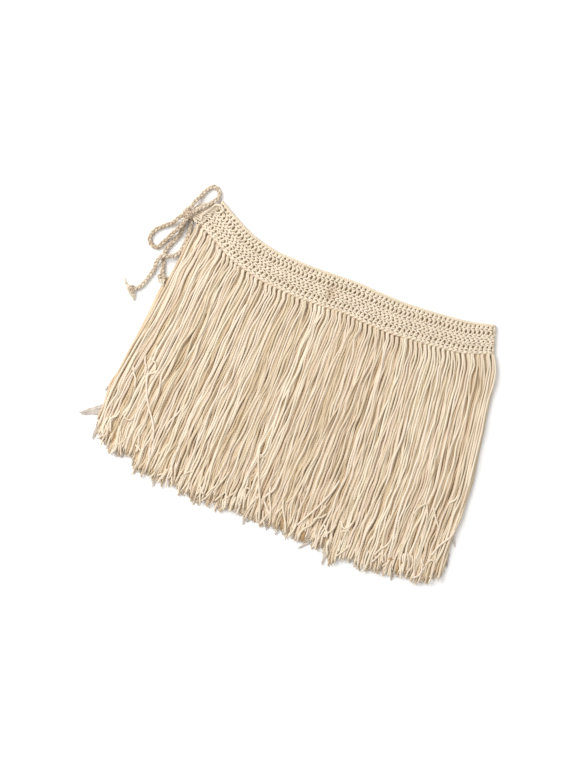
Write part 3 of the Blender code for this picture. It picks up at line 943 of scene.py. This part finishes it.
def build_fringe(name, fringe, material):
    """All strands of one fringe, in two pieces side by side, and the ends of the strands."""
    rng = np.random.default_rng(fringe["seed"])
    lively = fringe["lively"]
    heights = fringe["heights"]
    tops = fringe["tops"]
    waves = [(make_waves(rng, *kind), *grow) for kind, grow in FRINGE_WAVES]
    fall = np.linspace(0.0, 1.0, STRAND_POINTS)[None, :]
    loose = smooth_step(fall / LOOSE_FALL)
    rounding = fall / ROOT_BEND_FALL
    rounding = rounding * np.exp(1.0 - rounding) * lively
    pieces = []
    ends = []
    half = STITCHES // 2
    for side, first, last in (("left", 0, half), ("right", half, STITCHES)):
        numbers = np.arange(first, last)
        count = len(numbers)
        size = (count, 1)
        lean = swerves(rng, count, fall, LOCK_SWERVES) * (0.35 + 0.65 * lively)
        slip = rng.normal(0.0, LOCK_SLIP, count)
        aim = rng.normal(0.0, LOCK_AIM, size) * (1.0 - smooth_step(fall / AIM_FALL))
        tight = rng.uniform(*LOCK_TIGHT, size)
        open_at = LOCK_OPENS[0] + LOCK_OPENS[1] * rng.random(size) ** 2
        gather = tight + (LOCK_OPEN - tight) * np.minimum(fall / open_at, 1.0)
        lock_cut = rng.normal(fringe["shorter"], LOCK_CUT, size)
        yarns = YarnMesh()
        for offset, layer in fringe["strands"]:
            jitter = rng.normal(0.0, STRAND_JITTER, size) * smooth_step(fall / JITTER_FALL)
            place = offset * (gather if layer else 0.5 * (gather + 0.9))
            share = (numbers[:, None] + 0.5 + place + aim + jitter) / STITCHES
            share = np.clip(share, 0.001, 0.999)
            cut = lock_cut + rng.normal(0.0, STRAND_CUT, size)
            plan = fringe_in_plan(fringe["spread"], share, fall + 0.0 * share, cut)
            wander, turns, start, over = strand_wander(
                rng, share, fall, layer, lively, waves, lean
            )
            margin = np.minimum(share[:, :1], 1.0 - share[:, :1])
            calm = EDGE_CALM + (1.0 - EDGE_CALM) * smooth_step(margin / EDGE_SHARE)
            bend = ROOT_BEND[0] + (ROOT_BEND[1] - ROOT_BEND[0]) * share
            bend = rounding * (1.0 + 0.35 * slip[:, None]) * bend
            plan[..., 0] += (wander * loose + bend) * calm
            plan[..., 0] += parted(plan) * lively * (0.4 + 0.6 * layer)

            rise = (tops[-1][1] - heights[layer]) * np.exp(-(fall / RISE_FALL) ** 2) * layer
            swell = strand_swell(rng, fall, turns, start)
            height = heights[layer] + rise + (swell + over) * loose
            height -= ROOT_DROP * (1 - layer) * (1.0 - smooth_step(fall / DROP_FALL))
            height = np.maximum(height, STRAND_RADIUS)
            lines = np.concatenate([plan, height[..., None]], axis=2)
            middle = (numbers + 0.5 + aim[:, 0]) / STITCHES
            lower = -TOP_DROP * (1 - layer)
            top_points = strand_tops(share[:, 0], middle, tops, lower, slip)
            lines = np.concatenate([top_points, lines], axis=1)
            radii = np.full(lines.shape[:2], STRAND_RADIUS) * rng.uniform(0.84, 1.1, size)
            radii *= np.linspace(1.0, 1.07, lines.shape[1])
            radii[:, -1] *= 0.55
            radii[:, -2] *= 0.95
            # Strands of the lower layer get painted shade: a deeper tone on top of their random one
            tones = rng.beta(*TONE_SPREAD, count) + LOWER_PAINTED_SHADE * (1 - layer)
            tones = np.clip(tones, 0.0, 1.0)
            yarns.add(lines, radii, tones, STRAND_SIDES)
            ends.append((lines[:, -3], lines[:, -1], tones))
        pieces.append(yarns.build(f"{name}_strands_{side}", material))
    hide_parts(name)
    pieces.append(build_ends(f"{name}_ends", ends, rng, material))
    return pieces


def build_ends(name, ends, rng, material):
    """The frayed fibres in which every strand ends."""
    share = np.linspace(0.0, 1.0, 5)[None, :, None]
    yarns = YarnMesh()
    for before, last, tones in ends:
        count = len(last)
        onward = unit(last - before)
        onward[:, 2] = 0.0
        sideways = leftward(onward)
        for _ in range(END_FIBRES):
            length = rng.uniform(*END_LENGTH, (count, 1, 1))
            turn = rng.normal(0.0, 0.25, count)
            heading = onward + sideways * turn[:, None]
            bend = sideways * rng.normal(0.0, 0.9, (count, 1))
            root = last - onward * 1.5 + sideways * rng.uniform(-0.7, 0.7, (count, 1))
            lines = root[:, None] + heading[:, None] * length * share + bend[:, None] * share ** 2
            sink = lines[..., 2] - rng.uniform(-0.4, 0.9, (count, 1)) * share[..., 0]
            lines[..., 2] = np.maximum(sink, 0.4)
            radii = np.tile(END_RADIUS * (1.0 - 0.7 * share[..., 0] ** 2), (count, 1))
            yarns.add(lines, radii, tones * END_TONE, FIBRE_SIDES)
    return yarns.build(name, material)


def build_strays(material):
    """Single strands that lie across the front fringe."""
    rng = np.random.default_rng(31)
    yarns = YarnMesh()
    for points in STRAYS:
        path = SmoothCurve([(x, y, 0.0) for x, y in zip(points[::2], points[1::2])])
        count = max(12, round(path.length / 1.6))
        share = np.linspace(0.0, 1.0, count)
        line, _ = path.at(share * path.length)
        dive = np.exp(-(np.minimum(share, 1.0 - share) * path.length / 4.0) ** 2)
        line[:, 2] = STRAY_HEIGHT - 1.7 * dive + 0.25 * np.sin(share * 9.0)
        radius = STRAND_RADIUS * rng.uniform(0.86, 1.0)
        yarns.add_one(line, radius, rng.uniform(0.05, 0.4), STRAND_SIDES)
    add_loose_ends(yarns, rng)
    return yarns.build("fringe_strays", material)


def add_loose_ends(yarns, rng):
    """Short bent ends of strands that lie over the others just above the hem."""
    points = 14
    share = np.linspace(0.0, 1.0, points)[None, :]
    across = rng.uniform(0.01, 0.99, (LOOSE_ENDS, 1))
    root = fringe_in_plan(FRONT_SPREAD, across, np.ones_like(across), 0.0)[:, 0]
    length = rng.uniform(*LOOSE_LENGTH, (LOOSE_ENDS, 1))
    above = rng.uniform(*LOOSE_ABOVE, (LOOSE_ENDS, 1))
    above = np.maximum(above, length - 1.0)
    lean = rng.normal(0.0, 0.32, (LOOSE_ENDS, 1))
    bend = rng.normal(0.0, 0.55, (LOOSE_ENDS, 1))
    angle = lean + bend * (share - 0.4)
    step = length / (points - 1)
    lines = np.zeros((LOOSE_ENDS, points, 3))
    lines[..., 0] = root[:, :1] + np.cumsum(np.sin(angle), axis=1) * step
    lines[..., 1] = root[:, 1:] + above - np.cumsum(np.cos(angle), axis=1) * step
    lines[..., 2] = STRAY_HEIGHT - 0.4 - 1.6 * np.exp(-(share / 0.2) ** 2)
    radii = np.full((LOOSE_ENDS, points), STRAND_RADIUS)
    radii = radii * rng.uniform(0.72, 0.95, (LOOSE_ENDS, 1))
    radii[:, -1] *= 0.5
    yarns.add(lines, radii, rng.uniform(0.0, 0.45, LOOSE_ENDS), STRAND_SIDES)


def add_fibres(yarns, root, tip, width, count, rng):
    """A tuft of fine fibres from a root towards a tip."""
    share = np.linspace(0.0, 1.0, 7)[None, :]
    reach = tip - root
    length = np.linalg.norm(reach)
    across = unit(leftward(reach))
    side = rng.uniform(-1.0, 1.0, (count, 1))
    short = rng.uniform(0.7, 1.05, (count, 1))
    spread = side * width * 0.5 * (1.1 - share ** 1.4)
    curl = rng.normal(0.0, 0.05, (count, 1)) * length * share ** 2
    curl = curl + 0.3 * np.sin(share * rng.uniform(4.0, 10.0, (count, 1)) + side * 9.0)
    along = share * short
    lines = root + along[..., None] * reach + (spread + curl)[..., None] * across
    lift = rng.uniform(0.0, 1.8, (count, 1)) * (1.0 - 0.5 * share)
    lines[..., 2] = np.maximum(lines[..., 2] + lift, FIBRE_RADIUS)
    radii = FIBRE_RADIUS * (1.0 - 0.6 * share ** 3) * rng.uniform(0.7, 1.3, (count, 1))
    yarns.add(lines, radii, rng.uniform(0.1, 0.9, count), FIBRE_SIDES)


# Ties

def rolled_frames(lines, tangents):
    """Upward directions along a line that don't turn over where it stands up."""
    ups = np.zeros_like(lines)
    up = UP
    for index, tangent in enumerate(tangents):
        up = unit(up - tangent * np.dot(up, tangent))
        steady = UP - tangent * tangent[2]
        if np.linalg.norm(steady) > 0.4:
            steady = unit(steady)
            if np.dot(steady, up) < 0.0:
                steady = -steady
            up = unit(up + (steady - up) * 0.25)
            up = unit(up - tangent * np.dot(up, tangent))
        ups[index] = up
    return ups


def add_plait(yarns, route, step, scale, tone):
    """Three strands plaited along a route. Returns the route's own points."""
    path = SmoothCurve(route)
    count = max(8, round(path.length / step))
    distance = np.linspace(0.0, path.length, count)
    centre, tangent = path.at(distance)
    up = rolled_frames(centre, tangent)
    across = np.cross(tangent, up)
    for strand in range(3):
        phase = TURN * (distance / PLAIT_PITCH + strand / 3.0)
        line = (
            centre - UP * PLAIT_DROP
            + across * (PLAIT_ACROSS * scale * np.sin(phase))[:, None]
            + up * (PLAIT_HEIGHT * scale * np.sin(2.0 * phase))[:, None]
        )
        yarns.add_one(line, PLAIT_RADIUS * scale, tone + PLAIT_TONES * strand, PLAIT_SIDES, up)
    return centre


def build_plait(name, route, replaced, tone, step=CORD_STEP, scale=1.0):
    """A piece of plaited yarn and the points of its route, in the part's frame."""
    yarns = YarnMesh()
    centre = add_plait(yarns, route, step, scale, tone)
    item = yarns.build(name, finishes["tie_cord"])
    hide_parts(*replaced)
    return item, centre * MM + ORIGIN


def bow_wrap_route():
    """The wrap of the bow: turns of plait round the middle of the crossing."""
    axis = unit(np.array([*BOW_AXIS, 0.0]))
    route = []
    for step in range(BOW_STEPS):
        turn = math.radians(BOW_START + step * BOW_TURN)
        slide = axis * (BOW_SLIDE[0] + step * BOW_SLIDE[1])
        wide = leftward(axis) * (-BOW_WRAP[0] * math.sin(turn))
        high = UP * (BOW_WRAP[1] * math.cos(turn))
        route.append(np.array(BOW_KNOT_CENTRE) + slide + wide + high)
    return route


def end_knot_route(place, turn, size):
    """An overhand knot pulled tight at the end of a tie."""
    angles = np.arange(25) * TURN / 24.0
    x = np.sin(angles) + 2.0 * np.sin(2.0 * angles)
    y = np.cos(angles) - 2.0 * np.cos(2.0 * angles)
    z = -np.sin(3.0 * angles) * KNOT_THICKNESS
    cosine, sine = math.cos(turn), math.sin(turn)
    rolled = np.stack([x * cosine - y * sine, x * sine + y * cosine, z], axis=1)
    return list(np.array([*place, END_KNOT_HEIGHT]) + rolled * size)


def build_fray(name, tufts, seed, finish):
    """Unravelled yarn: X, Y, height of root and tip, width, fibres."""
    rng = np.random.default_rng(seed)
    yarns = YarnMesh()
    for root, tip, width, count in tufts:
        add_fibres(yarns, np.array(root), np.array(tip), width, count, rng)
    return yarns.build(name, finishes[finish])


# Stage

def build_stage():
    """Pale floor, soft light and the photograph's camera."""
    mesh = bpy.data.meshes.new("floor")
    corners = ((-1, -1), (1, -1), (1, 1), (-1, 1))
    places = [(x * FLOOR_HALF, y * FLOOR_HALF, 0.0) for x, y in corners]
    mesh.from_pydata(places, [], [(0, 1, 2, 3)])
    mesh.materials.append(new_material("floor_paper", FLOOR_SURFACE)[0])
    add_to_scene("floor", mesh)

    world = bpy.data.worlds.new("studio")
    world.use_nodes = True
    set_inputs(world.node_tree, world.node_tree.nodes["Background"], WORLD_LIGHT)
    bpy.context.scene.world = world

    for name, place, power in LIGHTS:
        data = bpy.data.lights.new(name, "AREA")
        data.size = LIGHT_SIZE
        data.energy = power
        light = add_to_scene(name, data)
        light.location = place
        light.rotation_euler = (-Vector(place)).to_track_quat("-Z", "Y").to_euler()

    data = bpy.data.cameras.new("photo_camera")
    data.lens = CAMERA_LENS
    data.sensor_width = CAMERA_SENSOR
    camera = add_to_scene("photo_camera", data)
    aim = np.array([*CAMERA_AIM, 0.0]) * MM + ORIGIN
    camera.location = (aim[0], aim[1], CAMERA_HEIGHT)
    camera.rotation_euler = (0.0, 0.0, CAMERA_TURN)
    bpy.context.scene.camera = camera
    bpy.context.scene.view_settings.view_transform = "Standard"


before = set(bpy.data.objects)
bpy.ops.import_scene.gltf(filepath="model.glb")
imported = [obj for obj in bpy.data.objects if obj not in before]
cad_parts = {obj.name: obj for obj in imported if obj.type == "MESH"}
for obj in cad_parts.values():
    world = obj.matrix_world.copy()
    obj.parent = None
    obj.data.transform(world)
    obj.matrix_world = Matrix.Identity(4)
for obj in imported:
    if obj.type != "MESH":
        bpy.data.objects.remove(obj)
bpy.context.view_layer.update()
knot_low, knot_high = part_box("bow_knot")
ORIGIN = np.array((knot_low + knot_high) / 2.0) - np.array(BOW_KNOT_CENTRE) * MM
CENTRELINE = SmoothCurve([(x, y, 0.0) for x, y in BAND_CENTRELINE])
PITCH = CENTRELINE.length / STITCHES
FRINGE_REACH = CENTRELINE.length + LAYER_GAP / 2.0 + WALL
STRIP_LENGTH = 2.0 * CENTRELINE.length + math.pi * (LAYER_GAP + WALL) / 2.0

finishes = {name: yarn_material(f"{name}_finish", *look) for name, look in YARN_FINISHES.items()}
# The band's cloth is painted dark: painted shade between the yarns
band_painted_shade = painted_shade_material("band_painted_shade_finish", DEPTH_PAINTED_SHADE)

band_cloth, band_stitches = build_band(finishes["band_yarn"], band_painted_shade)
band_end = build_band_end(finishes["band_yarn"])
front_fringe = build_fringe("fringe_front", FRONT_FRINGE, finishes["fringe_yarn"])
back_fringe = build_fringe("fringe_back", BACK_FRINGE, finishes["back_fringe"])
strays = build_strays(finishes["fringe_yarn"])
hem_rows = [
    ((x, y, 1.3), (tip_x, tip_y, 0.6), width, round(TUFT_FIBRES * (0.6 + width / 8.0)))
    for x, y, tip_x, tip_y, width in HEM_TUFTS
]
hem_tufts = build_fray("fringe_hem_tufts", hem_rows, 32, "frayed_yarn")
# Brown tufts among the front strands: painted shade
painted_shade_ends = build_fray("fringe_painted_shade_ends", PAINTED_SHADE_ENDS, 43, "painted_shade_end")

front_tie, front_line = build_plait(
    "front_tie", FRONT_TIE_ROUTE, ("tie_front", "loop_lower", "tail_right"), 0.36
)
back_tie, back_line = build_plait(
    "back_tie", BACK_TIE_ROUTE, ("tie_back", "loop_upper", "tail_left"), 0.08
)
bow_wrap, _ = build_plait("bow_wrap", bow_wrap_route(), ("bow_knot",), 0.4, scale=BOW_SCALE)
left_knot, right_knot = (
    build_plait(name, end_knot_route(*shape), (replaced,), 0.3, KNOT_STEP, KNOT_SCALE)[0]
    for name, replaced, shape in END_KNOTS
)
left_fray = build_fray("left_tail_fray", LEFT_FRAY, 41, "loose_yarn")
right_fray = build_fray("right_tail_fray", RIGHT_FRAY, 42, "loose_yarn")

build_stage()
